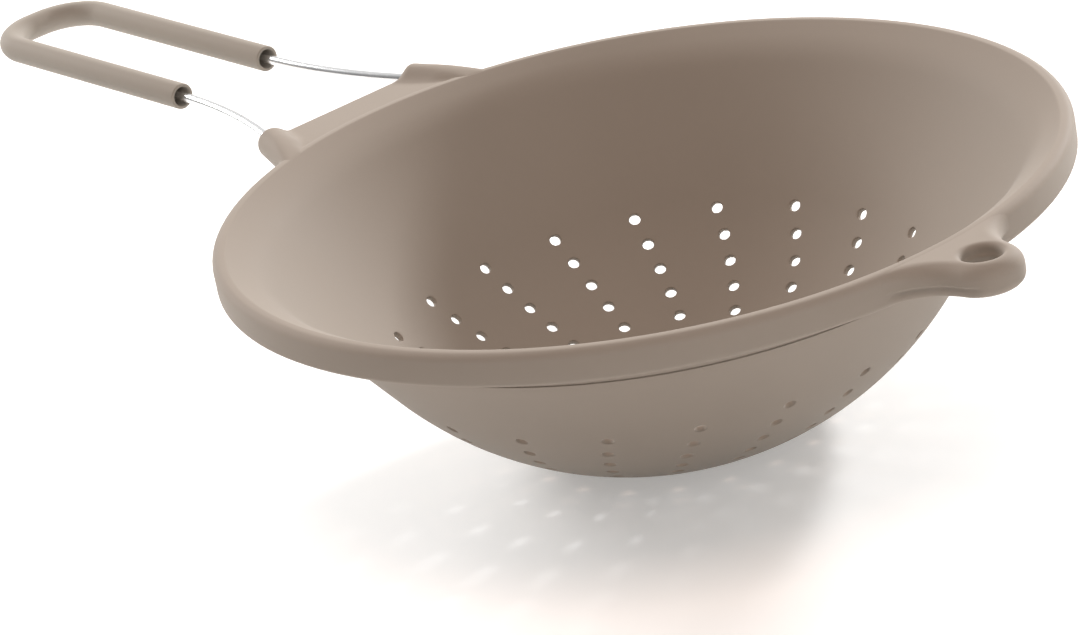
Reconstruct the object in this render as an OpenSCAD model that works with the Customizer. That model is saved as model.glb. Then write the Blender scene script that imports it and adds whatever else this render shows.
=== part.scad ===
// Kitchen sieve: a moulded silicone bowl with swirling rows of drain holes, a hanging ear and
// a wire handle with a silicone grip. The rim hides a steel ring, and the ends of the handle
// lie on that ring and are welded to it.
// Millimetres. The base stands on z = 0 round the origin, the handle points along -X and the
// ear along +X.

/* [Bowl] */
// Diameter over the outside of the rim
rim_d = 240; // [200:1:280]
// Height from the table to the top of the rim
bowl_h = 76.6; // [60:0.2:95]
// How much smaller the outside radius of the round bottom is than the rim's radius
dish_inset = 17; // [12:0.5:22]
// Diameter of the flat base
base_d = 64; // [40:1:80]
// Thickness of the silicone wall
wall_t = 1.8; // [1.4:0.1:3]

/* [Rim] */
// Width of the top of the rim, from its lip to its outer face
rim_w = 3.8; // [3:0.1:6]
// Height of the outer face of the rim
rim_h = 9.4; // [8.6:0.1:14]
// Width of the flare, seen from above, that leads from the lip down to the inside of the wall
flare_w = 8.5; // [6:0.1:10]
// How far the flare falls from the lip to the inside of the wall
flare_fall = 5.1; // [3:0.1:7]
// Radius that rounds the outer top edge of the rim
rim_round_r = 2.4; // [1:0.1:3]
// Radius that rounds the outer lower edge of the rim
rim_low_r = 1.6; // [0.5:0.1:3]

/* [Drain holes] */
// Diameter of a drain hole
hole_d = 3.4; // [1.5:0.1:4]
// Number of rows of holes round the bowl
hole_rows = 20; // [8:1:24]
// Number of holes in a row
holes_per_row = 6; // [2:1:7]
// Angle of the outermost hole from the bowl's axis, seen from the centre of the round bottom
first_hole_angle = 50.4; // [40:0.1:50.5]
// Angle from a hole to the next one down its row
hole_step_angle = 4.8; // [3:0.1:5]
// Angle that each row turns round the bowl from one hole to the next
row_swirl_angle = 1.8; // [0:0.1:4]

/* [Hanging ear] */
// Distance from the outside of the rim to the centre of the ear
ear_out = 11; // [7:0.5:30]
// Outside diameter of the ear
ear_d = 21.4; // [17:0.1:30]
// Diameter of the hole that hangs on a hook
ear_hole_d = 11; // [5:0.1:13]
// Thickness of the ear
ear_t = 9.2; // [5:0.1:12]
// Thickness of the webs that blend the ear into the rim
ear_web_t = 8.6; // [3:0.1:9]
// Width of the neck, as thick as the ear, that joins it to the rim
ear_neck_w = 12; // [6:0.5:16]
// Radius of the hollow blends beside the ear
ear_blend_r = 18; // [8:0.5:40]

/* [Lugs] */
// Diameter of the two lugs that hold the ends of the handle
lug_d = 9.4; // [7:0.1:9.4]
// Radius that rounds the ends of a lug
lug_round_r = 2.2; // [0.5:0.1:3]
// How far the straight edge of the bridge between the lugs stands out from the rim
bridge_out = 13; // [6:0.2:13.4]
// Thickness of the bridge
bridge_t = 5.6; // [3:0.1:6]
// How far the top of the bridge lies below the top of the rim
bridge_drop = 0.5; // [0:0.1:2]

/* [Wires] */
// Diameter of the handle's wire
handle_wire_d = 2.8; // [2:0.1:3.2]
// Diameter of the rim's wire
ring_wire_d = 2.8; // [2:0.1:3.2]
// How far the centre of the handle's wire lies below the top of the rim
handle_wire_drop = 3; // [2.8:0.1:5]
// Silicone outside the rim's wire
ring_cover = 2.2; // [1:0.1:3]
// Length of the handle's end that lies on the rim's wire
lap_len = 13; // [6:0.5:30]
// Inside radius of the bend where the handle meets the rim's wire
lap_bend_r = 8; // [4:0.5:20]

/* [Handle] */
// Distance from the outside of the rim to the middle of the handle's far end
handle_out = 170; // [120:1:220]
// Distance between the handle's two straight legs
leg_gap = 33.2; // [24:0.2:44]
// Radius of the corners at the handle's far end
end_corner_r = 14.6; // [8:0.2:16.4]
// Radius of the wide bend in which each leg spreads from the grip to its lug
spread_r = 165; // [140:1:190]
// Angle between a leg and the lug that it ends in
spread_angle = 20; // [16:0.5:24]
// Angle that the handle rises towards its far end
handle_rise = 1.8; // [0:0.1:6]

/* [Grip] */
// Outside diameter of the silicone grip
grip_d = 8; // [6:0.1:12]
// Distance from the outside of the rim to the ends of the grip
grip_out = 70; // [66:0.5:90]

/* [Welds] */
// Diameter of a weld bead, which fills the groove between the two wires
weld_d = 1.6; // [1:0.1:2.2]
// How far a weld bead stands out beside the wires
weld_proud = 0.4; // [0.1:0.1:0.8]
// Length of a weld bead
weld_len = 7; // [3:0.5:12]

/* [Fits] */
// Gap between a wire and the silicone or steel that it touches
fit_gap = 0.05; // [0.02:0.01:0.15]

/* [Hidden] */
$fn = 96;
// How far a cut runs past what it cuts
overrun = 5;
// How much thinner the wire is where it bends, and how far a run reaches round a bend's end
bend_thinning = 0.02;
run_overlap = 0.1;

// The wall: a round bottom, and a cone that touches it and ends at the flare. The cone takes
// over a little below the circle where they touch, so that they meet in a clean edge
seam_drop = 2;
rim_r = rim_d / 2;
mouth_r = rim_r - rim_w;
throat_r = mouth_r - flare_w;
throat_z = bowl_h - flare_fall;
dish_r = rim_r - dish_inset;
base_r = base_d / 2;
dish_z = sqrt(dish_r ^ 2 - base_r ^ 2);
dish_in_r = dish_r - wall_t;
throat_dist = norm([throat_r, throat_z - dish_z]);
wall_angle = asin(dish_in_r / throat_dist) + atan2(throat_z - dish_z, throat_r);

// Places along X, measured from the bowl's axis
ear_reach = rim_r + ear_out;
bridge_reach = rim_r + bridge_out;
handle_reach = rim_r + handle_out;
grip_reach = rim_r + grip_out;

// The rim's wire, and the handle's wire that lies on it
ring_r = rim_r - ring_cover - ring_wire_d / 2;
handle_z = bowl_h - handle_wire_drop;
lap_gap = 2.4 * fit_gap;
ring_z = handle_z - (handle_wire_d + ring_wire_d) / 2 - lap_gap;

// The handle's path on the +Y side, as seen from above: the lug starts where the wide bend
// ends, and a tight bend leads from there to the rim's wire
leg_y = leg_gap / 2;
lug_x = spread_r * sin(spread_angle) - grip_reach;
lug_y = leg_y + spread_r * (1 - cos(spread_angle));
lug_tip = [lug_x, lug_y];
lug_dir = [cos(spread_angle), sin(spread_angle)];
lug_left = [-lug_dir.y, lug_dir.x];
bend_r = lap_bend_r + handle_wire_d / 2;
bend_from = lug_tip + bend_r * lug_left;
bend_run = -bend_from * lug_dir
    - sqrt((bend_from * lug_dir) ^ 2 - bend_from * bend_from + (ring_r + bend_r) ^ 2);
bend_centre = bend_from + bend_run * lug_dir;
lap_start_angle = atan2(bend_centre.y, bend_centre.x);
bend_angle = lap_start_angle - 90 - spread_angle;
lap_angle = lap_len / ring_r * 180 / PI;
lap_end_angle = lap_start_angle - lap_angle;
rise_x = ring_r * cos(lap_end_angle);

// The weld beads, beside the place where the two wires come closest
weld_x = max(handle_wire_d, ring_wire_d) / 2 + weld_proud - weld_d / 2;
weld_z = ring_z + (ring_wire_d + lap_gap) / 2;
weld_angle = weld_len / ring_r * 180 / PI;
weld_from_angle = (lap_start_angle + lap_end_angle - weld_angle) / 2;

// The ear's blends: a circle that touches the rim and the ear from outside
rim_to_blend = rim_r + ear_blend_r;
ear_to_blend = ear_d / 2 + ear_blend_r;
blend_x = (rim_to_blend ^ 2 - ear_to_blend ^ 2 + ear_reach ^ 2) / (2 * ear_reach);
blend_y = sqrt(rim_to_blend ^ 2 - blend_x ^ 2);

// The lugs run on inside the rim as far as the mouth
lug_len = -lug_tip * lug_dir - sqrt((lug_tip * lug_dir) ^ 2 - lug_tip * lug_tip + mouth_r ^ 2);

silicone = [0.64, 0.59, 0.53];
grip_silicone = [0.61, 0.56, 0.49];
steel = [0.78, 0.79, 0.8];

// Half of the section inside the surface that lies in_by inside the outer wall
module dish_section(in_by, floor_z, top_z) {
    r = dish_r - in_by;
    touch = [r * sin(wall_angle), dish_z - r * cos(wall_angle)];
    slope = cos(wall_angle) / sin(wall_angle);
    seam_z = touch.y - seam_drop;
    intersection() {
        translate([0, dish_z]) circle(r = r);
        translate([0, floor_z]) square([r, seam_z - floor_z]);
    }
    polygon([
        [0, seam_z],
        [touch.x - seam_drop * slope, seam_z],
        [touch.x + (top_z - touch.y) * slope, top_z],
        [0, top_z]
    ]);
}

// Section of the rim, from the axis out, with its two outer edges and its lip rounded
module rim_section() {
    low_z = bowl_h - rim_h;
    difference() {
        translate([0, low_z]) square([rim_r, rim_h]);
        translate([rim_r - rim_round_r, bowl_h - rim_round_r])
            square(rim_round_r + overrun);
        translate([rim_r - rim_low_r, low_z - overrun])
            square([rim_low_r + overrun, rim_low_r + overrun]);
    }
    translate([rim_r - rim_round_r, bowl_h - rim_round_r]) circle(r = rim_round_r);
    translate([rim_r - rim_low_r, low_z + rim_low_r]) circle(r = rim_low_r);
}

// Section inside the flare, which runs on along its slope past the lip
module flare_section() {
    slope = flare_w / flare_fall;
    polygon([
        [0, throat_z],
        [throat_r, throat_z],
        [mouth_r + overrun * slope, bowl_h + overrun],
        [0, bowl_h + overrun]
    ]);
}

// Ring section that lies round a bent wire of centre radius r
module bent_tube(r, d, angle) {
    rotate_extrude(angle = angle) translate([r, 0]) circle(d = d);
}

// Places what starts at the tip of the +Y side's lug, with the lug along X
module at_lug_tip() {
    translate([-grip_reach, leg_y + spread_r, 0])
        rotate([0, 0, spread_angle])
            translate([0, -spread_r, 0]) children();
}

// Tube of diameter d that follows the handle's leg on the +Y side, from the grip to the rim's wire
module handle_run(d) {
    bend_d = d - bend_thinning;
    overlap_angle = asin(run_overlap / ring_r);
    translate([-grip_reach, leg_y + spread_r, 0])
        rotate([0, 0, -90]) bent_tube(spread_r, bend_d, spread_angle);
    at_lug_tip() {
        translate([-run_overlap, 0, 0])
            rotate([0, 90, 0]) cylinder(d = d, h = bend_run + 2 * run_overlap);
        translate([bend_run, bend_r, 0]) {
            rotate([0, 0, -90]) bent_tube(bend_r, bend_d, bend_angle);
            rotate([0, 0, bend_angle]) translate([0, -bend_r - ring_r, 0])
                rotate([0, 0, 90 - lap_angle]) bent_tube(ring_r, d, lap_angle + overlap_angle);
        }
    }
}

// Straight leg and far end of the handle on the +Y side
module handle_loop_half(d, run_past = 0) {
    corner_x = handle_reach - end_corner_r;
    translate([-corner_x, leg_y, 0])
        rotate([0, 90, 0]) cylinder(d = d, h = corner_x - grip_reach + run_past);
    translate([-corner_x, leg_y - end_corner_r, 0])
        rotate([0, 0, 90]) bent_tube(end_corner_r, d, 90);
    if (leg_y > end_corner_r)
        translate([-handle_reach, 0, 0])
            rotate([-90, 0, 0]) cylinder(d = d, h = leg_y - end_corner_r);
}

// Places what belongs to the handle at its height and tilts it by the handle's rise
module on_handle() {
    translate([rise_x, 0, handle_z])
        rotate([0, handle_rise, 0])
            translate([-rise_x, 0, 0]) children();
}

module both_sides() {
    children();
    mirror([0, 1, 0]) children();
}

module ear() {
    translate([ear_reach, 0, bowl_h - ear_t]) cylinder(d = ear_d, h = ear_t);
    translate([mouth_r, -ear_neck_w / 2, bowl_h - ear_t])
        cube([ear_reach - mouth_r, ear_neck_w, ear_t]);
    translate([0, 0, bowl_h - ear_web_t]) linear_extrude(ear_web_t) difference() {
        polygon([[0, 0], [blend_x, blend_y], [ear_reach, 0], [blend_x, -blend_y]]);
        for (side = [-1, 1])
            translate([blend_x, side * blend_y]) circle(r = ear_blend_r);
    }
}

// Lug on the +Y side: a round bar along the handle's wire with rounded ends
module lug() {
    straight_r = lug_d / 2 - lug_round_r;
    at_lug_tip() rotate([0, 90, 0]) rotate_extrude() intersection() {
        union() {
            for (end = [lug_round_r, lug_len - lug_round_r])
                translate([straight_r, end]) circle(r = lug_round_r);
            translate([0, lug_round_r]) square([lug_d / 2, lug_len - 2 * lug_round_r]);
            square([straight_r, lug_len]);
        }
        square([lug_d / 2, lug_len]);
    }
}

module bridge() {
    edge_y = lug_y - (bridge_reach + lug_x) * tan(spread_angle);
    rim_y = lug_y - (mouth_r + lug_x) * tan(spread_angle);
    translate([0, 0, bowl_h - bridge_drop - bridge_t]) linear_extrude(bridge_t)
        polygon([
            [-bridge_reach, edge_y],
            [-bridge_reach, -edge_y],
            [-mouth_r, -rim_y],
            [-mouth_r, rim_y]
        ]);
}

// Groove for the two wires and the weld beads where the handle lies on the rim's wire
module lap_groove() {
    side = weld_x + weld_d / 2 + fit_gap;
    low_z = ring_z - ring_wire_d / 4;
    end_angle = asin(fit_gap / ring_r);
    rotate([0, 0, lap_end_angle - end_angle])
        rotate_extrude(angle = lap_angle + end_angle)
            translate([ring_r - side, low_z])
                square([2 * side, handle_z + handle_wire_d / 4 - low_z]);
}

// Weld bead on the inner (-1) or the outer side (1) of the two wires
module weld_bead(side) {
    rotate([0, 0, weld_from_angle]) rotate_extrude(angle = weld_angle) difference() {
        translate([ring_r + side * weld_x, weld_z]) circle(d = weld_d);
        translate([ring_r, ring_z]) circle(d = ring_wire_d + 2 * fit_gap);
        translate([ring_r, handle_z]) circle(d = handle_wire_d + 2 * fit_gap);
    }
}

module drain_holes() {
    for (row = [0 : hole_rows - 1], hole = [0 : holes_per_row - 1])
        translate([0, 0, dish_z])
            rotate([
                0,
                180 - first_hole_angle + hole * hole_step_angle,
                row * 360 / hole_rows - hole * row_swirl_angle
            ])
                translate([0, 0, dish_in_r - overrun])
                    cylinder(d = hole_d, h = wall_t + 2 * overrun);
}

module bowl() {
    color(silicone) difference() {
        union() {
            rotate_extrude() {
                dish_section(0, 0, bowl_h - rim_h);
                rim_section();
            }
            ear();
            both_sides() on_handle() lug();
            bridge();
        }
        rotate_extrude() {
            dish_section(wall_t, wall_t, throat_z);
            flare_section();
        }
        translate([ear_reach, 0, bowl_h - ear_t - overrun])
            cylinder(d = ear_hole_d, h = ear_t + 2 * overrun);
        both_sides() on_handle() handle_run(handle_wire_d + 2 * fit_gap);
        translate([0, 0, ring_z]) bent_tube(ring_r, ring_wire_d + 2 * fit_gap, 360);
        both_sides() lap_groove();
        drain_holes();
    }
}

module rim_ring() {
    color(steel) translate([0, 0, ring_z]) bent_tube(ring_r, ring_wire_d, 360);
}

module handle_wire() {
    color(steel) on_handle() both_sides() {
        handle_run(handle_wire_d);
        handle_loop_half(handle_wire_d, run_overlap);
    }
}

module grip_sleeve() {
    color(grip_silicone) on_handle() difference() {
        both_sides() handle_loop_half(grip_d);
        both_sides() handle_loop_half(handle_wire_d + 2 * fit_gap, overrun);
    }
}

module handle_welds() {
    color(steel) both_sides() for (side = [-1, 1]) weld_bead(side);
}

bowl();
rim_ring();
handle_wire();
handle_welds();
grip_sleeve();
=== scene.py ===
"""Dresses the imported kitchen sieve: a moulded silicone bowl with its drain holes, hanging ear and
lugs, the bright wire handle and its silicone grip. It also sets the studio and the camera."""

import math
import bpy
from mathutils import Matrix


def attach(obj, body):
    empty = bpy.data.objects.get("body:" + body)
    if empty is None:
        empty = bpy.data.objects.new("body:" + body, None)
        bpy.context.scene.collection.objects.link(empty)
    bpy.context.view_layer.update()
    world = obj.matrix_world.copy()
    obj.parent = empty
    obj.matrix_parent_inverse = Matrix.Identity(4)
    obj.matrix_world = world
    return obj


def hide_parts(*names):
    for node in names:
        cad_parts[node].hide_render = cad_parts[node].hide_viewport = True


bl_info = {
    "name": "Kitchen Sieve",
    "version": (1, 0, 0),
    "blender": (4, 5, 0),
    "location": "View3D > Sidebar > Sieve",
    "description": "Builds the visible surfaces of a silicone kitchen sieve and its studio",
    "category": "Object",
}

import bmesh
import bpy
import numpy as np
from bpy.props import FloatProperty, FloatVectorProperty, IntProperty, PointerProperty
from mathutils import Matrix, Vector

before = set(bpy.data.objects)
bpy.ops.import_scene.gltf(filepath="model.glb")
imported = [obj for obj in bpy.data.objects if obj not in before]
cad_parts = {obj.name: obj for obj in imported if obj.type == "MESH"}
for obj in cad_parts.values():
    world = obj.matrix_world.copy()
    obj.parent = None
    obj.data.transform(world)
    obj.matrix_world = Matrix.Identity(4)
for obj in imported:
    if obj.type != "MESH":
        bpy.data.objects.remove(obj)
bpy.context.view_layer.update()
MM = 0.001
# The skins of the ear and the lugs lie this far under the rim's own skin where they pass into it.
SINK = 0.06 * MM


def distance(label, words, default):
    """A length that a user can change."""
    return FloatProperty(
        name=label, description=words, default=default, min=0.0, unit="LENGTH", subtype="DISTANCE"
    )


def angle(label, words, degrees):
    """An angle that a user can change."""
    return FloatProperty(
        name=label, description=words, default=math.radians(degrees), subtype="ANGLE"
    )


def colour(label, words, default):
    """A colour that a user can change."""
    return FloatVectorProperty(
        name=label, description=words, default=default, size=3, min=0.0, max=1.0, subtype="COLOR"
    )


class SieveSizes(bpy.types.PropertyGroup):
    """Sizes of the sieve, the same as those of the solids."""

    rim_radius: distance("Rim radius", "Outside radius of the rim", 120 * MM)
    mouth_radius: distance("Mouth radius", "Radius of the mouth, inside the lip", 116.2 * MM)
    height: distance("Height", "From the table to the top of the rim", 76.6 * MM)
    dish_radius: distance("Dish radius", "Outside radius of the round bottom", 103 * MM)
    base_radius: distance("Base radius", "Radius of the flat base", 32 * MM)
    wall: distance("Wall", "Thickness of the silicone wall", 1.8 * MM)
    rim_height: distance("Rim height", "Height of the outer face of the rim", 9.4 * MM)
    flare_width: distance("Flare width", "Width of the flare inside the lip", 8.5 * MM)
    flare_fall: distance("Flare fall", "Fall of the flare from the lip", 5.1 * MM)
    rim_round: distance("Rim rounding", "Rounding of the rim's outer top edge", 2.4 * MM)
    rim_low_round: distance("Rim low rounding", "Rounding of the rim's lower edge", 1.6 * MM)
    lip_round: distance("Lip rounding", "Rounding of the lip at the mouth", 1.5 * MM)
    throat_round: distance("Throat rounding", "Rounding where the flare meets the wall", 26 * MM)
    crease_round: distance("Crease rounding", "Hollow rounding under the rim", 0.8 * MM)
    groove_width: distance("Groove width", "Width of the groove under the rim", 9.2 * MM)
    groove_depth: distance("Groove depth", "Depth of the groove under the rim", 0.5 * MM)
    hole_radius: distance("Hole radius", "Radius of a drain hole", 1.7 * MM)
    hole_edge: distance("Hole edge", "Rounding of a drain hole's edges", 0.25 * MM)
    hole_rows: IntProperty(name="Rows", description="Rows of holes round the bowl", default=20)
    row_holes: IntProperty(name="Holes", description="Holes in a row", default=6)
    first_hole: angle("First hole", "Angle of the outermost hole from the axis", 50.4)
    hole_step: angle("Hole step", "Angle from a hole to the next in its row", 4.8)
    row_swirl: angle("Swirl", "Turn of a row round the bowl for each hole", 1.8)
    ear_reach: distance("Ear reach", "From the axis to the centre of the ear", 131 * MM)
    ear_radius: distance("Ear radius", "Outside radius of the ear", 10.7 * MM)
    ear_hole_radius: distance("Ear hole radius", "Radius of the hanging hole", 5.5 * MM)
    ear_hole_round: distance("Ear hole rounding", "Rounding of the hole's edges", 1.6 * MM)
    ridge_drop: distance("Ridge drop", "From the ear's top to the ridge in its hole", 3.6 * MM)
    ridge_height: distance("Ridge", "Height of the moulded ridge in the hole", 0.4 * MM)
    ear_height: distance("Ear thickness", "Thickness of the ear", 9.2 * MM)
    ear_blend: distance("Ear blend", "Radius of the hollow blends beside the ear", 18 * MM)
    ear_round: distance("Ear rounding", "Rounding of the ear's top edge", 4.2 * MM)
    ear_low_round: distance("Ear low rounding", "Rounding of the ear's lower edge", 3 * MM)
    ledge_depth: distance("Ledge depth", "Depth of the moulded step beside the ear", 0.8 * MM)
    ledge_drop: distance("Ledge drop", "From the rim's top to that step", 5.4 * MM)
    lug_radius: distance("Lug radius", "Radius of the lugs", 4.7 * MM)
    lug_round: distance("Lug rounding", "Rounding of the lugs' ends", 2.2 * MM)
    bridge_reach: distance("Bridge reach", "From the axis to the bridge's edge", 133 * MM)
    bridge_height: distance("Bridge thickness", "Thickness of the bridge", 5.6 * MM)
    bridge_drop: distance("Bridge drop", "Bridge's top below the rim's top", 0.5 * MM)
    bridge_round: distance("Bridge rounding", "Rounding of the bridge's edge", 1.6 * MM)
    soft_blend: distance("Soft blend", "Width of the moulded blends between forms", 3.2 * MM)
    wire_radius: distance("Wire radius", "Radius of the handle's wire", 1.4 * MM)
    wire_drop: distance("Wire drop", "Wire's centre below the rim's top", 3 * MM)
    ring_cover: distance("Ring cover", "Silicone outside the rim's wire", 2.2 * MM)
    lap_length: distance("Lap length", "Length of the wire that lies on the rim's wire", 13 * MM)
    bend_inside: distance("Bend", "Inside radius of the bend before the lap", 8 * MM)
    spread_radius: distance("Spread radius", "Radius of the wide bend of a leg", 165 * MM)
    spread: angle("Spread", "Angle between a leg and its lug", 20)
    handle_reach: distance("Handle reach", "From the axis to the handle's end", 290 * MM)
    leg_gap: distance("Leg gap", "Distance between the two legs", 33.2 * MM)
    corner_radius: distance("Corner radius", "Radius of the handle's corners", 14.6 * MM)
    handle_rise: angle("Handle rise", "Angle that the handle rises", 1.8)
    grip_radius: distance("Grip radius", "Outside radius of the grip", 4 * MM)
    grip_reach: distance("Grip reach", "From the axis to the grip's ends", 190 * MM)
    grip_edge: distance("Grip edge", "Rounding of the grip's ends", 0.4 * MM)
    grip_mouth: distance("Grip mouth", "Radius of the open ends of the grip", 3 * MM)
    grip_depth: distance("Grip depth", "Depth of the open ends of the grip", 5 * MM)


class SieveColours(bpy.types.PropertyGroup):
    """Colours of the sieve and its studio."""

    bowl: colour("Bowl", "Silicone of the bowl", (0.275, 0.236, 0.198))
    # Painted highlight: the grip's tone is lighter and greyer than the bowl's silicone, to stand in
    # for the strong light on the grip.
    grip: colour("Grip", "Silicone of the grip", (0.3, 0.268, 0.23))
    wire: colour("Wire", "Bright wire of the handle", (0.74, 0.74, 0.74))
    hidden: colour("Hidden wire", "Wire inside the rim", (0.6, 0.6, 0.6))
    floor: colour("Floor", "Table under the sieve", (0.85, 0.85, 0.85))
    air: colour("Surroundings", "Light from all round", (1.0, 1.0, 1.0))


class Socket:
    """An output of a shader node that takes part in Python expressions."""

    def __init__(self, tree, link=None):
        self.tree = tree
        self.link = link

    def node(self, kind, settings=None, inputs=None, output=0):
        """Adds a node: its settings first, then the values or links of its sockets."""
        made = self.tree.nodes.new(kind)
        for name, value in (settings or {}).items():
            if name == "stops":
                for stop, (place, tone) in zip(made.color_ramp.elements, value):
                    stop.position = place
                    stop.color = (*tone, 1.0)
            else:
                setattr(made, name, value)
        for name, value in (inputs or {}).items():
            if isinstance(value, Socket):
                self.tree.links.new(value.link, made.inputs[name])
            else:
                made.inputs[name].default_value = value
        return Socket(self.tree, made.outputs[output])

    def maths(self, operation, first, second):
        """A Math node on two values or expressions."""
        return self.node("ShaderNodeMath", {"operation": operation}, {0: first, 1: second})

    def __add__(self, other):
        return self.maths("ADD", self, other)

    def __radd__(self, other):
        return self.maths("ADD", other, self)

    def __sub__(self, other):
        return self.maths("SUBTRACT", self, other)

    def __rsub__(self, other):
        return self.maths("SUBTRACT", other, self)

    def __mul__(self, other):
        return self.maths("MULTIPLY", self, other)

    def __rmul__(self, other):
        return self.maths("MULTIPLY", other, self)


def new_material(name):
    """A material with its principled shader, and a Socket to start expressions from."""
    material = bpy.data.materials.new(name)
    material.use_nodes = True
    return material, material.node_tree.nodes["Principled BSDF"], Socket(material.node_tree)


def noise(start, place, scale, detail=2.0, roughness=0.5):
    """Noise between 0 and 1 at a place, with so many lumps a metre."""
    return start.node(
        "ShaderNodeTexNoise",
        inputs={"Vector": place, "Scale": scale, "Detail": detail, "Roughness": roughness},
    )


def blend_tones(start, factor, first, second):
    """A colour between two tones."""
    return start.node(
        "ShaderNodeMix",
        {"data_type": "RGBA"},
        {"Factor": factor, 6: (*first, 1.0), 7: (*second, 1.0)},
        output=2,
    )


def link(shader, name, socket):
    """Feeds an expression into a socket of a shader."""
    socket.tree.links.new(socket.link, shader.inputs[name])


def silicone(name, tone):
    """Matte moulded silicone: soft cloudy tone, fine moulded grain and a little bloom."""
    material, shader, start = new_material(name)
    place = start.node("ShaderNodeTexCoord", output="Object")
    cloud = noise(start, place, 28.0, 3.0, 0.55)
    dust = noise(start, place, 420.0, 2.0, 0.6)
    mottle = cloud * 0.7 + dust * 0.3
    light = tuple(min(1.0, part * 1.05) for part in tone)
    dark = tuple(part * 0.95 for part in tone)
    link(shader, "Base Color", blend_tones(start, mottle, dark, light))
    link(shader, "Roughness", mottle * 0.12 + 0.66)
    fine = noise(start, place, 1500.0, 3.0, 0.6)
    wavy = noise(start, place, 90.0, 1.0, 0.4)
    relief = fine * 0.6 + wavy * 0.4
    bump = start.node(
        "ShaderNodeBump", inputs={"Strength": 0.25, "Distance": 0.05 * MM, "Height": relief}
    )
    link(shader, "Normal", bump)
    shader.inputs["Specular IOR Level"].default_value = 0.22
    shader.inputs["Sheen Weight"].default_value = 0.05
    shader.inputs["Sheen Roughness"].default_value = 0.45
    return material


def drawn_wire(name, tone, base_roughness):
    """Bright drawn steel: faint lines along the wire and slight cloudiness."""
    material, shader, start = new_material(name)
    place = start.node("ShaderNodeTexCoord", output="Object")
    along = start.node(
        "ShaderNodeMapping", inputs={"Vector": place, "Scale": (60.0, 2600.0, 2600.0)}
    )
    lines = noise(start, along, 1.0, 2.0, 0.5)
    cloud = noise(start, place, 160.0, 2.0, 0.5)
    dark = tuple(part * 0.9 for part in tone)
    link(shader, "Base Color", blend_tones(start, lines * 0.6 + cloud * 0.4, dark, tone))
    link(shader, "Roughness", lines * 0.1 + cloud * 0.06 + base_roughness)
    bump = start.node(
        "ShaderNodeBump", inputs={"Strength": 0.15, "Distance": 0.02 * MM, "Height": lines}
    )
    link(shader, "Normal", bump)
    shader.inputs["Metallic"].default_value = 1.0
    return material


def add_mesh(name, points, faces, material, weld=True):
    """A smooth mesh object in the scene, with coincident points welded."""
    coincident = 0.002 * MM
    mesh = bpy.data.meshes.new(name)
    mesh.from_pydata([tuple(point) for point in np.asarray(points).tolist()], [], faces)
    if weld:
        edit = bmesh.new()
        edit.from_mesh(mesh)
        bmesh.ops.remove_doubles(edit, verts=edit.verts, dist=coincident)
        bmesh.ops.recalc_face_normals(edit, faces=edit.faces)
        edit.to_mesh(mesh)
        edit.free()
    mesh.shade_smooth()
    mesh.materials.append(material)
    piece = bpy.data.objects.new(name, mesh)
    bpy.context.scene.collection.objects.link(piece)
    return piece


def rounded_path(corners, radii, steps=6):
    """The corners of a path in a plane, each rounded to its radius, as an array of points."""
    corners = np.asarray(corners, float)
    path = [corners[0]]
    for before, corner, after, radius in zip(corners, corners[1:], corners[2:], radii):
        towards = (before - corner) / np.linalg.norm(before - corner)
        onwards = (after - corner) / np.linalg.norm(after - corner)
        half = math.acos(float(np.clip(towards @ onwards, -1.0, 1.0))) / 2
        middle = (towards + onwards) / np.linalg.norm(towards + onwards)
        centre = corner + middle * radius / math.sin(half)
        first = corner + towards * radius / math.tan(half) - centre
        last = corner + onwards * radius / math.tan(half) - centre
        sweep = math.pi - 2 * half
        for step in range(steps + 1):
            part = sweep * step / steps
            path.append(
                centre
                + (first * math.sin(sweep - part) + last * math.sin(part)) / math.sin(sweep)
            )
    path.append(corners[-1])
    return np.array(path)


def fill_in(path, longest):
    """Adds points to a path where two of its points are far apart."""
    filled = [path[0]]
    for before, after in zip(path, path[1:]):
        pieces = max(1, math.ceil(np.linalg.norm(after - before) / longest))
        for piece in range(1, pieces + 1):
            filled.append(before + (after - before) * piece / pieces)
    return np.array(filled)


def arc(centre, radius, start, end, step):
    """Points of an arc in the plane, at most so many radians apart."""
    count = max(2, math.ceil(abs(end - start) / step) + 1)
    turn = np.linspace(start, end, count)
    return np.asarray(centre) + radius * np.stack([np.cos(turn), np.sin(turn)], -1)


class Dish:
    """The wall of the bowl as seen from the centre of its round bottom."""

    def __init__(self, sizes):
        self.centre_z = math.sqrt(sizes.dish_radius**2 - sizes.base_radius**2)
        self.outer = sizes.dish_radius
        self.inner = sizes.dish_radius - sizes.wall
        self.wall = sizes.wall
        throat = sizes.mouth_radius - sizes.flare_width
        rise = sizes.height - sizes.flare_fall - self.centre_z
        away = math.hypot(throat, rise)
        self.slope = math.asin(self.inner / away) + math.atan2(rise, throat)

    def reach(self, polar, inner):
        """Distance of the wall's surface at an angle from the axis."""
        radius = self.inner if inner else self.outer
        floor = self.centre_z - (self.wall if inner else 0.0)
        polar = np.asarray(polar, float)
        cone = radius / np.cos(np.maximum(polar - self.slope, 0.0))
        flat = floor / np.cos(polar)
        soft = 0.12 * MM
        mix = np.clip(0.5 + 0.5 * (flat - cone) / soft, 0.0, 1.0)
        return flat + (cone - flat) * mix - soft * mix * (1 - mix)

    def radius_at(self, height, inner):
        """Distance from the axis of the cone's surface at a height."""
        radius = self.inner if inner else self.outer
        return (radius + (height - self.centre_z) * math.cos(self.slope)) / math.sin(self.slope)

    def points(self, directions, inner, depth=0.0):
        """Where directions from the centre meet a surface, or a depth inside the wall from it."""
        polar = np.arccos(np.clip(-directions[..., 2], -1.0, 1.0))
        reach = self.reach(polar, inner) + (depth if inner else -depth)
        return directions * reach[..., None] + np.array([0.0, 0.0, self.centre_z])


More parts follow.
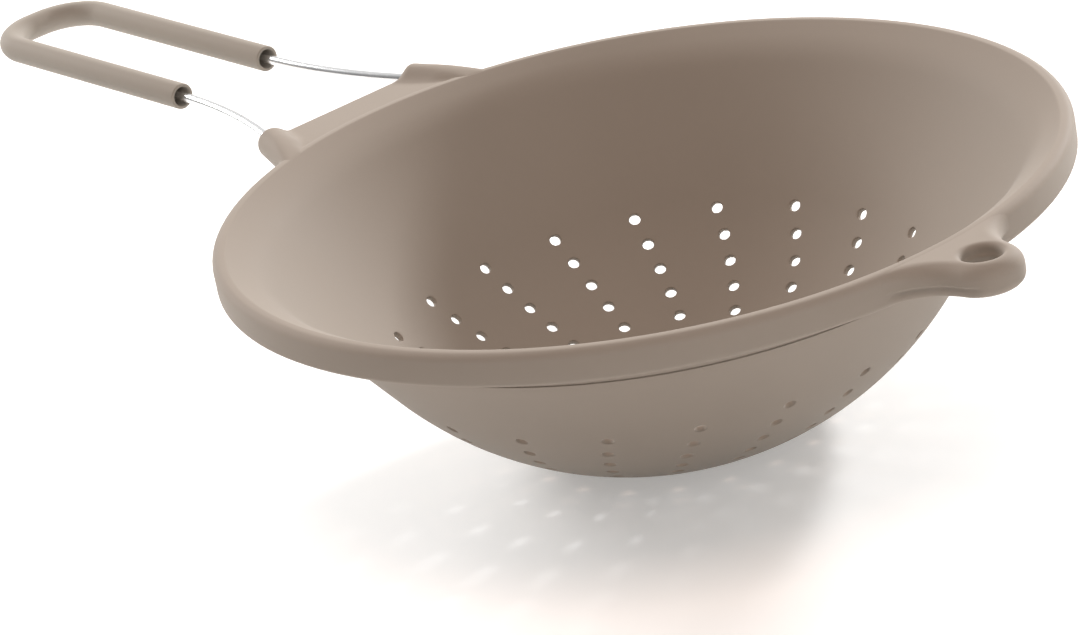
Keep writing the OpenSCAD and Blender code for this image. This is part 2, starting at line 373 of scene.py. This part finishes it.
def direction(turn, polar):
    """Unit vectors at a turn round the axis and an angle from straight down."""
    turn, polar = np.broadcast_arrays(turn, polar)
    return np.stack(
        [np.sin(polar) * np.cos(turn), np.sin(polar) * np.sin(turn), -np.cos(polar)], -1
    )


def rim_profile(sizes, dish, polar):
    """The section of the rim from the outer wall, over the top, to the inner wall."""
    low = sizes.height - sizes.rim_height
    ends = []
    for inner in (False, True):
        reach = float(dish.reach(polar, inner))
        ends.append((reach * math.sin(polar), dish.centre_z - reach * math.cos(polar)))
    under = low - sizes.groove_width
    under_radius = dish.radius_at(under, False)
    corners = [
        ends[0],
        (under_radius, under),
        (under_radius - sizes.groove_depth, under),
        (dish.radius_at(low, False) - sizes.groove_depth, low),
        (sizes.rim_radius, low),
        (sizes.rim_radius, sizes.height),
        (sizes.mouth_radius, sizes.height),
        (sizes.mouth_radius - sizes.flare_width, sizes.height - sizes.flare_fall),
        ends[1],
    ]
    groove_round = sizes.groove_depth * 0.4
    radii = [groove_round, groove_round, sizes.crease_round, sizes.rim_low_round]
    radii += [sizes.rim_round, sizes.lip_round, sizes.throat_round]
    longest = 4 * MM
    return fill_in(rounded_path(corners, radii), longest)


class Sheets:
    """Collects points and faces of one mesh."""

    def __init__(self):
        self.points = []
        self.faces = []

    def grid(self, rows, turned=False):
        """Quads between closed rows of points, in each of which the last point joins the first."""
        first = len(self.points)
        width = len(rows[0])
        for row in rows:
            self.points.extend(np.asarray(row))
        for row in range(len(rows) - 1):
            for column in range(width):
                after = (column + 1) % width
                face = [
                    first + row * width + column,
                    first + row * width + after,
                    first + (row + 1) * width + after,
                    first + (row + 1) * width + column,
                ]
                self.faces.append(face[::-1] if turned else face)


def hole_cell(sheets, dish, sizes, turn, polar, columns, side_steps):
    """The part of the wall round one drain hole, on both of its surfaces, and the hole's wall."""
    half_turn = math.pi / sizes.hole_rows
    half_step = sizes.hole_step / 2
    across = np.linspace(-1.0, 1.0, columns + 1)
    upward = np.linspace(-1.0, 1.0, side_steps + 1)
    border = [(-1.0, v) for v in upward[::-1][:-1]]
    border += [(u, -1.0) for u in across[:-1]]
    border += [(1.0, v) for v in upward[:-1]]
    border += [(u, 1.0) for u in across[::-1][:-1]]
    border = np.array(border)
    shear = sizes.row_swirl / 2 * border[:, 1]
    outward = direction(turn + half_turn * border[:, 0] + shear, polar + half_step * border[:, 1])
    axis = direction(turn, polar)
    east = np.cross([0.0, 0.0, 1.0], axis)
    east /= np.linalg.norm(east)
    north = np.cross(axis, east)
    around = np.arctan2(outward @ north, outward @ east)
    circle = np.cos(around)[:, None] * east + np.sin(around)[:, None] * north

    def ring(radius, depth, inner):
        """The hole's ring of a radius, so deep inside the wall."""
        reach = float(dish.reach(polar, inner))
        point = axis * reach + circle * radius
        point /= np.linalg.norm(point, axis=1)[:, None]
        return dish.points(point, inner, depth)

    edge = sizes.hole_edge
    wide = sizes.hole_radius + edge
    rings = []
    for inner in (False, True):
        rows = []
        start = ring(wide, 0.0, inner) - np.array([0.0, 0.0, dish.centre_z])
        start /= np.linalg.norm(start, axis=1)[:, None]
        for share in (1.0, 0.62, 0.32, 0.12, 0.0):
            way = outward * share + start * (1 - share)
            way /= np.linalg.norm(way, axis=1)[:, None]
            rows.append(dish.points(way, inner))
        for part in (30, 60, 90):
            lean = math.radians(part)
            radius = wide - edge * math.sin(lean)
            rows.append(ring(radius, edge * (1 - math.cos(lean)), inner))
        rings.append(rows)
    sheets.grid(rings[0] + rings[1][::-1])


def bowl_mesh(sizes):
    """The bowl: base, floor, the swirling rows of holes, the cone and the rim."""
    dish = Dish(sizes)
    sheets = Sheets()
    columns = 8
    side_steps = 4
    total = columns * sizes.hole_rows
    half_turn = math.pi / sizes.hole_rows
    for hole in range(sizes.row_holes):
        for row in range(sizes.hole_rows):
            turn = row * 2 * half_turn - hole * sizes.row_swirl
            polar = sizes.first_hole - hole * sizes.hole_step
            hole_cell(sheets, dish, sizes, turn, polar, columns, side_steps)
    column_turns = np.arange(total) * 2 * math.pi / total - half_turn
    top = sizes.first_hole + sizes.hole_step / 2
    turns = column_turns + sizes.row_swirl / 2
    rows = []
    for radius, height in rim_profile(sizes, dish, top):
        rows.append(
            np.stack([radius * np.cos(turns), radius * np.sin(turns), np.full(total, height)], -1)
        )
    sheets.grid(rows)
    low = top - sizes.hole_step * sizes.row_holes
    turns = column_turns - sizes.row_swirl * (sizes.row_holes - 0.5)
    base_shares = (1.05, 1.015, 1.0, 0.985, 0.95, 0.8, 0.55, 0.3, 0.1)
    nearly_down = 1e-5
    for inner in (False, True):
        radius = dish.inner if inner else dish.outer
        flat = math.acos((dish.centre_z - (dish.wall if inner else 0.0)) / radius)
        polars = [low, low - (low - flat) * 0.45]
        polars += [flat * share for share in base_shares] + [nearly_down]
        rows = [dish.points(direction(turns, polar), inner) for polar in polars]
        sheets.grid(rows, turned=inner)
    return sheets


def soft_union(first, second, width):
    """Union of two distances with a soft blend of that width."""
    mix = np.clip(0.5 + 0.5 * (second - first) / width, 0.0, 1.0)
    return second + (first - second) * mix - width * mix * (1 - mix)


def soft_meeting(first, second, radius, turn):
    """Distance to where two distances are both inside, with a shallow edge that turns so far
    rounded to a radius."""
    width = 4 * radius * (1 / math.cos(turn / 2) - 1)
    return -soft_union(-first, -second, width)


def rounded_pair(first, second, radius):
    """Distance to where two distances are both inside, with the edge between them rounded."""
    near = np.maximum(first + radius, 0.0)
    far = np.maximum(second + radius, 0.0)
    inside = np.minimum(np.maximum(first + radius, second + radius), 0.0)
    return inside + np.hypot(near, far) - radius


def rim_distance(sizes, dish, points):
    """Distances to the plain rim, and to the space inside the mouth."""
    radial = np.hypot(points[..., 0], points[..., 1])
    height = points[..., 2]
    outside = radial - sizes.rim_radius
    above = height - sizes.height
    below = sizes.height - sizes.rim_height - height
    middle = sizes.height - sizes.rim_height / 2
    upper = rounded_pair(outside, above, sizes.rim_round)
    lower = rounded_pair(outside, below, sizes.rim_low_round)
    body = np.where(height > middle, upper, lower)
    lean = radial * math.sin(dish.slope) - (height - dish.centre_z) * math.cos(dish.slope)
    flare = math.atan2(sizes.flare_fall, sizes.flare_width)
    from_lip = (sizes.mouth_radius - radial) * math.sin(flare)
    from_lip += (height - sizes.height) * math.cos(flare)
    mouth = soft_meeting(dish.inner - lean, from_lip, sizes.throat_round, dish.slope - flare)
    return soft_meeting(body, mouth, sizes.lip_round, flare), mouth


def surface_net(field, low, high, step):
    """Quads of the surface where a field is zero inside a box, with points on the surface."""
    low = np.asarray(low, float)
    counts = [int(math.ceil((b - a) / step)) + 1 for a, b in zip(low, high)]
    axes = [low[i] + step * np.arange(counts[i]) for i in range(3)]
    values = field(np.stack(np.meshgrid(*axes, indexing="ij"), -1))
    cells = [count - 1 for count in counts]
    total = np.zeros((*cells, 3))
    crossings = np.zeros(cells)

    def part(offset):
        return tuple(slice(offset[i], offset[i] + cells[i]) for i in range(3))

    base = np.stack(np.meshgrid(*[np.arange(count) for count in cells], indexing="ij"), -1)
    corners = [np.array([i, j, k]) for i in (0, 1) for j in (0, 1) for k in (0, 1)]
    for start in corners:
        for axis in range(3):
            if start[axis]:
                continue
            end = start.copy()
            end[axis] = 1
            here = values[part(start)]
            there = values[part(end)]
            crossed = (here < 0) != (there < 0)
            share = np.where(crossed, here / np.where(crossed, here - there, 1.0), 0.0)
            place = base + start
            place = place.astype(float)
            place[..., axis] += share
            total += np.where(crossed[..., None], place, 0.0)
            crossings += crossed
    used = crossings > 0
    index = np.full(cells, -1)
    index[used] = np.arange(int(used.sum()))
    points = low + step * total[used] / crossings[used][:, None]
    points = onto_surface(field, points, step)
    faces = []
    for axis in range(3):
        second, third = (axis + 1) % 3, (axis + 2) % 3
        near = [slice(None)] * 3
        far = [slice(None)] * 3
        near[axis] = slice(0, counts[axis] - 1)
        far[axis] = slice(1, counts[axis])
        here = values[tuple(near)] < 0
        crossed = here != (values[tuple(far)] < 0)
        places = np.argwhere(crossed)
        inside = (places[:, second] > 0) & (places[:, second] < cells[second])
        inside &= (places[:, third] > 0) & (places[:, third] < cells[third])
        places = places[inside]
        quad = []
        for back_second, back_third in ((1, 1), (0, 1), (0, 0), (1, 0)):
            cell = places.copy()
            cell[:, second] -= back_second
            cell[:, third] -= back_third
            quad.append(index[cell[:, 0], cell[:, 1], cell[:, 2]])
        quad = np.stack(quad, -1)
        flip = ~here[places[:, 0], places[:, 1], places[:, 2]]
        quad[flip] = quad[flip][:, ::-1]
        faces.append(quad)
    return points, np.concatenate(faces)


def onto_surface(field, points, step):
    """Moves points onto the surface where the field is zero."""
    small = 0.02 * MM
    least_slope = 0.05
    nothing = 1e-12
    for _ in range(3):
        value = field(points)
        slope = np.zeros_like(points)
        for axis in range(3):
            offset = np.zeros(3)
            offset[axis] = small
            slope[:, axis] = (field(points + offset) - field(points - offset)) / (2 * small)
        size = np.maximum((slope**2).sum(1), least_slope)
        move = -value[:, None] * slope / size[:, None]
        far = np.linalg.norm(move, axis=1)[:, None]
        points = points + move * np.minimum(1.0, 0.5 * step / np.maximum(far, nothing))
    return points


def ease(value):
    """Goes smoothly from 0 to 1 while the value does."""
    share = np.clip(value, 0.0, 1.0)
    return share * share * (3 - 2 * share)


def ear_field(sizes, dish):
    """Distance to the hanging ear, its webs and the piece of rim that carries it."""
    to_rim = sizes.rim_radius + sizes.ear_blend
    to_ear = sizes.ear_radius + sizes.ear_blend
    blend_x = (to_rim**2 - to_ear**2 + sizes.ear_reach**2) / (2 * sizes.ear_reach)
    blend_y = math.sqrt(to_rim**2 - blend_x**2)
    ear_y = blend_y * sizes.ear_radius / to_ear
    rim_y = blend_y * sizes.rim_radius / to_rim
    # The moulded step fades out at its upper edge, its foot, the ear's middle, the rim and the tip.
    upper_fade = 0.5 * MM
    foot_drop = 9 * MM
    foot_fade = 3 * MM
    middle_gap = 3 * MM
    middle_fade = 5 * MM
    rim_fade = 7 * MM
    tip_start = sizes.ear_reach + 8 * MM
    tip_fade = 4 * MM
    ridge_width = 0.6 * MM

    def field(points):
        x, height = points[..., 0], points[..., 2]
        y = np.abs(points[..., 1])
        top = height - sizes.height
        rim, mouth = rim_distance(sizes, dish, points)
        ear = np.hypot(x - sizes.ear_reach, y) - sizes.ear_radius
        outline = np.minimum(ear, np.hypot(x, y) - sizes.rim_radius)
        left = blend_x * y - blend_y * x
        right = (sizes.ear_reach - blend_x) * (y - blend_y) + blend_y * (x - blend_x)
        hollow = sizes.ear_blend - np.hypot(x - blend_x, y - blend_y)
        outline = np.where((left < 0) & (right < 0), hollow, outline)
        share = ease((y - ear_y) / (rim_y - ear_y))
        step = ease((-top - sizes.ledge_drop) / upper_fade) * ease((foot_drop + top) / foot_fade)
        beside = ease((y - middle_gap) / middle_fade) * ease((rim_y - y) / rim_fade)
        beside = beside * ease((tip_start - x) / tip_fade)
        outline = outline + sizes.ledge_depth * step * beside
        high = sizes.ear_round + (sizes.rim_round - sizes.ear_round) * share
        low = sizes.ear_low_round + (sizes.rim_low_round - sizes.ear_low_round) * share
        upper = rounded_pair(outline, top + SINK, high)
        lower = rounded_pair(outline, -top - sizes.ear_height, low)
        form = np.where(top > -sizes.ear_height / 2, upper, lower) + SINK * share
        form = np.minimum(form, rim + SINK)
        ridge = np.exp(-(((top + sizes.ridge_drop) / ridge_width) ** 2))
        hole = sizes.ear_hole_radius - sizes.ridge_height * ridge
        hole = hole - np.hypot(x - sizes.ear_reach, y)
        form = rounded_pair(form, hole, sizes.ear_hole_round)
        return np.maximum(form, mouth + SINK)

    return field


class Handle:
    """The handle's path as seen from above, before it is tilted by its rise."""

    def __init__(self, sizes):
        self.sizes = sizes
        self.leg = sizes.leg_gap / 2
        self.ring = sizes.rim_radius - sizes.ring_cover - sizes.wire_radius
        self.height = sizes.height - sizes.wire_drop
        spread = sizes.spread
        radius = sizes.spread_radius
        self.tip = np.array(
            [
                radius * math.sin(spread) - sizes.grip_reach,
                self.leg + radius * (1 - math.cos(spread)),
            ]
        )
        self.way = np.array([math.cos(spread), math.sin(spread)])
        self.bend = sizes.bend_inside + sizes.wire_radius
        start = self.tip + self.bend * np.array([-self.way[1], self.way[0]])
        along = -float(start @ self.way)
        apart = along**2 - float(start @ start) + (self.ring + self.bend) ** 2
        self.bend_centre = start + (along - math.sqrt(apart)) * self.way
        self.lap_start = math.atan2(self.bend_centre[1], self.bend_centre[0])
        self.lap_end = self.lap_start - sizes.lap_length / self.ring
        self.rise_x = self.ring * math.cos(self.lap_end)
        self.corner_x = sizes.handle_reach - sizes.corner_radius

    def placed(self, points):
        """Points of the handle's plane in the sieve's frame."""
        rise = self.sizes.handle_rise
        x = points[..., 0] - self.rise_x
        height = points[..., 2]
        return np.stack(
            [
                self.rise_x + x * math.cos(rise) + height * math.sin(rise),
                points[..., 1],
                self.height - x * math.sin(rise) + height * math.cos(rise),
            ],
            -1,
        )

    def unplaced(self, points):
        """The opposite of placed."""
        rise = self.sizes.handle_rise
        x = points[..., 0] - self.rise_x
        height = points[..., 2] - self.height
        return np.stack(
            [
                self.rise_x + x * math.cos(rise) - height * math.sin(rise),
                points[..., 1],
                x * math.sin(rise) + height * math.cos(rise),
            ],
            -1,
        )

    def loop(self):
        """Half of the handle's loop, from the grip's end to the middle of the far end."""
        sizes = self.sizes
        corner = (-self.corner_x, self.leg - sizes.corner_radius)
        corner_step = math.radians(5)
        bend = arc(corner, sizes.corner_radius, math.pi / 2, math.pi, corner_step)
        return np.concatenate([[(-sizes.grip_reach, self.leg)], bend])

    def run(self):
        """The wire from its end on the rim's wire to the grip's end."""
        sizes = self.sizes
        spread_centre = (-sizes.grip_reach, self.leg + sizes.spread_radius)
        down = -math.pi / 2
        slanted = down + sizes.spread
        lap_step = math.radians(1)
        bend_step = math.radians(6)
        spread_step = math.radians(1.2)
        lap = arc((0, 0), self.ring, self.lap_end, self.lap_start, lap_step)
        bend = arc(self.bend_centre, self.bend, self.lap_start - math.pi, slanted, bend_step)
        wide = arc(spread_centre, sizes.spread_radius, slanted, down, spread_step)
        return np.concatenate([lap, bend[1:], wide[:-1]])

    def whole(self, half):
        """A path on the +Y side and its mirror image, joined at the far end."""
        mirrored = half[::-1] * np.array([1.0, -1.0])
        return np.concatenate([half, mirrored])


def lugs_field(sizes, dish, handle):
    """Distance to the two lugs, the bridge between them and the rim that carries them."""
    slant = math.tan(sizes.spread)
    edge_y = handle.tip[1] - (sizes.bridge_reach + handle.tip[0]) * slant
    normal = np.array([math.sin(sizes.spread), -math.cos(sizes.spread)])
    bridge_root = sizes.mouth_radius * 0.8
    bore_radius = sizes.wire_radius + 0.12 * MM
    bore_length = 9 * MM
    # The blends grow from this share at the mouth to the whole at the end of the fade.
    least_blend = 0.05
    blend_fade = 8 * MM
    # The lugs and the bridge stay under a slope that rises outwards from the lip.
    top_slope = 0.3

    def field(points):
        across = points.copy()
        across[..., 1] = np.abs(points[..., 1])
        rim, mouth = rim_distance(sizes, dish, points)
        local = handle.unplaced(across)
        offset = local[..., :2] - handle.tip
        along = offset @ handle.way
        beside = offset @ np.array([-handle.way[1], handle.way[0]])
        radial = np.hypot(beside, local[..., 2])
        bar = rounded_pair(radial - sizes.lug_radius, -along, sizes.lug_round)
        top = points[..., 2] - (sizes.height - sizes.bridge_drop)
        slab = np.maximum(top, -top - sizes.bridge_height)
        sides = -((across[..., :2] - np.array([-sizes.bridge_reach, edge_y])) @ normal)
        plate = np.maximum(-sizes.bridge_reach - points[..., 0], sides)
        plate = np.maximum(plate, points[..., 0] + bridge_root)
        bridge = rounded_pair(plate, slab, sizes.bridge_round)
        form = np.minimum(bridge, rim + SINK)
        outside = np.hypot(points[..., 0], points[..., 1]) - sizes.mouth_radius
        fade = ease(outside / blend_fade)
        blend = sizes.soft_blend * (least_blend + (1 - least_blend) * fade)
        form = soft_union(form, bar, blend)
        over = points[..., 2] - sizes.height - top_slope * outside
        form = rounded_pair(form, over, sizes.bridge_round)
        bore = bore_radius - radial
        form = np.maximum(form, np.minimum(bore, bore_length - along))
        return np.maximum(form, mouth + SINK)

    return field


def tube(sheets, handle, path, rings, closed=False):
    """Skin round a path in the handle's plane. Each ring is the number of a point of the path, a
    shift along the path from there and a radius."""
    sides = 28
    ways = np.gradient(path, axis=0)
    ways /= np.linalg.norm(ways, axis=1)[:, None]
    turn = np.arange(sides) * 2 * math.pi / sides
    rows = []
    for index, shift, radius in rings:
        side = np.array([-ways[index][1], ways[index][0]])
        centre = path[index] + ways[index] * shift
        flat = centre + side * radius * np.cos(turn)[:, None]
        row = np.concatenate([flat, radius * np.sin(turn)[:, None]], 1)
        rows.append(handle.placed(row))
    if closed:
        rows.append(rows[0])
    sheets.grid(rows)


def straighten_ends(path):
    """Adds points just inside the ends of a path, so that its end rings stand square."""
    inside = 0.5 * MM
    first = path[0] + (path[1] - path[0]) / np.linalg.norm(path[1] - path[0]) * inside
    last = path[-1] + (path[-2] - path[-1]) / np.linalg.norm(path[-2] - path[-1]) * inside
    return np.concatenate([path[:1], [first], path[1:-1], [last], path[-1:]])


def colours_and_sizes(context):
    """The colours and sizes that a user can change."""
    return context.scene.sieve_colours, context.scene.sieve_sizes


class SIEVE_OT_bowl(bpy.types.Operator):
    """Builds the silicone bowl with its drain holes and rim"""

    bl_idname = "sieve.bowl"
    bl_label = "Bowl"

    def execute(self, context):
        colours, sizes = colours_and_sizes(context)
        material = silicone("bowl silicone", tuple(colours.bowl))
        sheets = bowl_mesh(sizes)
        piece = add_mesh("bowl_skin", sheets.points, sheets.faces, material)
        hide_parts("bowl")
        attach(piece, "root")
        return {"FINISHED"}


class SIEVE_OT_ear(bpy.types.Operator):
    """Builds the hanging ear and its blends into the rim"""

    bl_idname = "sieve.ear"
    bl_label = "Hanging ear"

    def execute(self, context):
        sizes = context.scene.sieve_sizes
        dish = Dish(sizes)
        half = sizes.ear_blend + sizes.ear_radius
        margin = 1.5 * MM
        root = 6 * MM
        low = (sizes.mouth_radius - root, -half, sizes.height - sizes.rim_height - margin)
        high = (sizes.ear_reach + sizes.ear_radius + margin, half, sizes.height + margin)
        cell = 0.55 * MM
        points, faces = surface_net(ear_field(sizes, dish), low, high, cell)
        piece = add_mesh(
            "ear_skin", points, faces.tolist(), bpy.data.materials["bowl silicone"], weld=False
        )
        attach(piece, "root")
        return {"FINISHED"}


class SIEVE_OT_lugs(bpy.types.Operator):
    """Builds the two lugs and the bridge between them"""

    bl_idname = "sieve.lugs"
    bl_label = "Lugs and bridge"

    def execute(self, context):
        sizes = context.scene.sieve_sizes
        dish = Dish(sizes)
        handle = Handle(sizes)
        margin = 3 * MM
        margin_below = 1.5 * MM
        half = 58 * MM
        root = -97 * MM
        low = (handle.tip[0] - margin, -half, sizes.height - sizes.rim_height - margin_below)
        high = (root, half, sizes.height + margin)
        cell = 0.6 * MM
        points, faces = surface_net(lugs_field(sizes, dish, handle), low, high, cell)
        piece = add_mesh(
            "lug_skin", points, faces.tolist(), bpy.data.materials["bowl silicone"], weld=False
        )
        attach(piece, "root")
        return {"FINISHED"}


class SIEVE_OT_handle(bpy.types.Operator):
    """Builds the bright wire handle"""

    bl_idname = "sieve.handle"
    bl_label = "Wire handle"

    def execute(self, context):
        colours, sizes = colours_and_sizes(context)
        handle = Handle(sizes)
        half = np.concatenate([handle.run(), handle.loop()])
        path = straighten_ends(handle.whole(half))
        last = len(path) - 1
        edge = 0.2 * MM
        centre = 0.01 * MM
        radius = sizes.wire_radius
        rings = [(0, 0.0, centre), (0, 0.0, radius - edge), (0, edge, radius)]
        rings += [(index, 0.0, radius) for index in range(2, last - 1)]
        rings += [(last, -edge, radius), (last, 0.0, radius - edge), (last, 0.0, centre)]
        sheets = Sheets()
        tube(sheets, handle, path, rings)
        material = drawn_wire("bright wire", tuple(colours.wire), 0.16)
        piece = add_mesh("handle_wire_skin", sheets.points, sheets.faces, material)
        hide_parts("handle_wire")
        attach(piece, "root")
        return {"FINISHED"}


class SIEVE_OT_grip(bpy.types.Operator):
    """Builds the silicone grip with its bore round the wire"""

    bl_idname = "sieve.grip"
    bl_label = "Grip"

    def execute(self, context):
        colours, sizes = colours_and_sizes(context)
        handle = Handle(sizes)
        path = straighten_ends(handle.whole(handle.loop()))
        last = len(path) - 1
        edge = sizes.grip_edge
        outer = sizes.grip_radius
        gap = 0.05 * MM
        bore = sizes.wire_radius + gap
        mouth = sizes.grip_mouth
        mouth_edge = 0.15 * MM
        depth = sizes.grip_depth
        taper = 0.5 * MM
        rounding = []
        for lean in (30, 60, 90):
            turn = math.radians(lean)
            rounding.append((edge * (1 - math.sin(turn)), outer - edge * (1 - math.cos(turn))))
        rings = [(0, edge, outer)] + [(i, 0.0, outer) for i in range(2, last - 1)]
        rings.append((last, -edge, outer))
        rings += [(last, -shift, radius) for shift, radius in rounding]
        rings += [(last, 0.0, mouth + mouth_edge), (last, -mouth_edge, mouth)]
        rings += [(last, -depth, mouth), (last, -depth - taper, bore)]
        rings += [(i, 0.0, bore) for i in range(last - 2, 1, -1)]
        rings += [(0, depth + taper, bore), (0, depth, mouth), (0, mouth_edge, mouth)]
        rings.append((0, 0.0, mouth + mouth_edge))
        rings += [(0, shift, radius) for shift, radius in rounding[::-1]]
        sheets = Sheets()
        tube(sheets, handle, path, rings, closed=True)
        # The grip's silicone carries painted light: its tone is set lighter and greyer than the
        # bowl's for the strong light on it.
        material = silicone("grip silicone with painted light", tuple(colours.grip))
        piece = add_mesh("grip_skin", sheets.points, sheets.faces, material)
        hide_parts("grip_sleeve")
        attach(piece, "root")
        return {"FINISHED"}


class SIEVE_OT_hidden_steel(bpy.types.Operator):
    """Gives the steel inside the rim its dull wire material"""

    bl_idname = "sieve.hidden_steel"
    bl_label = "Hidden steel"

    def execute(self, context):
        colours = context.scene.sieve_colours
        material = drawn_wire("dull wire", tuple(colours.hidden), 0.4)
        for name in ("rim_ring", "handle_welds"):
            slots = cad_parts[name].data.materials
            slots.clear()
            slots.append(material)
        return {"FINISHED"}


def area_light(name, place, target, size, power, tone=(1.0, 1.0, 1.0)):
    """A soft light at a place that shines at a target."""
    lamp = bpy.data.lights.new(name, "AREA")
    lamp.shape = "RECTANGLE"
    lamp.size, lamp.size_y = size
    lamp.energy = power
    lamp.color = tone
    holder = bpy.data.objects.new(name, lamp)
    holder.location = place
    holder.rotation_euler = (Vector(target) - Vector(place)).to_track_quat("-Z", "Y").to_euler()
    bpy.context.scene.collection.objects.link(holder)


class SIEVE_OT_stage(bpy.types.Operator):
    """Sets the floor, the lights and the camera"""

    bl_idname = "sieve.stage"
    bl_label = "Studio"

    def execute(self, context):
        colours = context.scene.sieve_colours
        self.set_floor(tuple(colours.floor))
        self.set_lights(tuple(colours.air))
        self.set_camera(context.scene)
        context.scene.view_settings.view_transform = "Standard"
        return {"FINISHED"}

    def set_floor(self, tone):
        """A pale matte table that glows faintly, so that it stays near white."""
        material, shader, start = new_material("table")
        place = start.node("ShaderNodeTexCoord", output="Object")
        cloud = noise(start, place, 3.0)
        dark = tuple(part * 0.99 for part in tone)
        link(shader, "Base Color", blend_tones(start, cloud, dark, tone))
        shader.inputs["Roughness"].default_value = 0.6
        shader.inputs["Emission Color"].default_value = (1.0, 0.995, 0.985, 1.0)
        shader.inputs["Emission Strength"].default_value = 0.28
        size = 6.0
        corners = [(-size, -size, 0), (size, -size, 0), (size, size, 0), (-size, size, 0)]
        floor = add_mesh("table", np.array(corners), [(0, 1, 2, 3)], material, weld=False)

    def set_lights(self, tone):
        """Soft surroundings that are brightest behind the sieve, and four area lights."""
        bright_way = (-0.6, 0.68, 0.42)
        dimmest = 0.16
        aim = (0, 0, 0.05)
        world = bpy.data.worlds.new("studio")
        bpy.context.scene.world = world
        world.use_nodes = True
        air = world.node_tree.nodes["Background"]
        air.inputs["Color"].default_value = (*tone, 1.0)
        start = Socket(world.node_tree)
        way = start.node("ShaderNodeTexCoord", output="Generated")
        glow = start.node(
            "ShaderNodeVectorMath",
            {"operation": "DOT_PRODUCT"},
            {0: way, 1: bright_way},
            output="Value",
        )
        glow = glow * 0.5 + 0.5
        soft = glow * glow * 0.85 + dimmest
        # The backdrop itself is plain white.
        seen = start.node("ShaderNodeLightPath", output="Is Camera Ray")
        link(air, "Strength", soft + (1.0 - soft) * seen)
        area_light("window", (-0.4, 2.0, 0.87), aim, (0.3, 0.3), 48)
        area_light("side", (1.5, 0.6, 0.5), aim, (1.2, 0.8), 4)
        area_light("left", (-1.92, -0.27, 1.08), aim, (0.9, 0.9), 36)
        area_light("warm", (0.5, -0.37, 1.85), aim, (1.0, 1.0), 14, (1.0, 0.74, 0.6))

    def set_camera(self, scene):
        """A long lens that looks down at the sieve and is rolled, so that the sieve leans in
        the picture."""
        azimuth = math.radians(-37.074)
        elevation = math.radians(21.948)
        roll = math.radians(-11.074)
        target = Vector((0.01888, -0.0573, 0.06))
        away = 1.24803
        back = Vector(
            (
                math.cos(elevation) * math.cos(azimuth),
                math.cos(elevation) * math.sin(azimuth),
                math.sin(elevation),
            )
        )
        level = Vector((0, 0, 1)).cross(back).normalized()
        right = Matrix.Rotation(-roll, 3, -back) @ level
        up = back.cross(right)
        lens = bpy.data.cameras.new("camera")
        lens.lens = 156.108
        lens.sensor_width = 36.0
        lens.clip_start = 0.05
        lens.clip_end = 50.0
        camera = bpy.data.objects.new("camera", lens)
        pose = Matrix((right, up, back)).transposed().to_4x4()
        camera.matrix_world = Matrix.Translation(target + back * away) @ pose
        scene.collection.objects.link(camera)
        scene.camera = camera


class SIEVE_PT_panel(bpy.types.Panel):
    """Lists the steps that build the sieve"""

    bl_idname = "SIEVE_PT_panel"
    bl_label = "Kitchen sieve"
    bl_space_type = "VIEW_3D"
    bl_region_type = "UI"
    bl_category = "Sieve"

    def draw(self, context):
        for step in STEPS:
            self.layout.operator(step.bl_idname)
        for group in (context.scene.sieve_colours, context.scene.sieve_sizes):
            for name in group.__annotations__:
                self.layout.prop(group, name)


STEPS = (
    SIEVE_OT_stage,
    SIEVE_OT_bowl,
    SIEVE_OT_ear,
    SIEVE_OT_lugs,
    SIEVE_OT_handle,
    SIEVE_OT_grip,
    SIEVE_OT_hidden_steel,
)
CLASSES = (SieveSizes, SieveColours, *STEPS, SIEVE_PT_panel)


def register():
    for item in CLASSES:
        bpy.utils.register_class(item)
    bpy.types.Scene.sieve_sizes = PointerProperty(type=SieveSizes)
    bpy.types.Scene.sieve_colours = PointerProperty(type=SieveColours)


def unregister():
    del bpy.types.Scene.sieve_colours
    del bpy.types.Scene.sieve_sizes
    for item in reversed(CLASSES):
        bpy.utils.unregister_class(item)


def main():
    register()
    bpy.ops.sieve.stage()
    bpy.ops.sieve.bowl()
    bpy.ops.sieve.ear()
    bpy.ops.sieve.lugs()
    bpy.ops.sieve.handle()
    bpy.ops.sieve.grip()
    bpy.ops.sieve.hidden_steel()


if __name__ == "__main__":
    main()
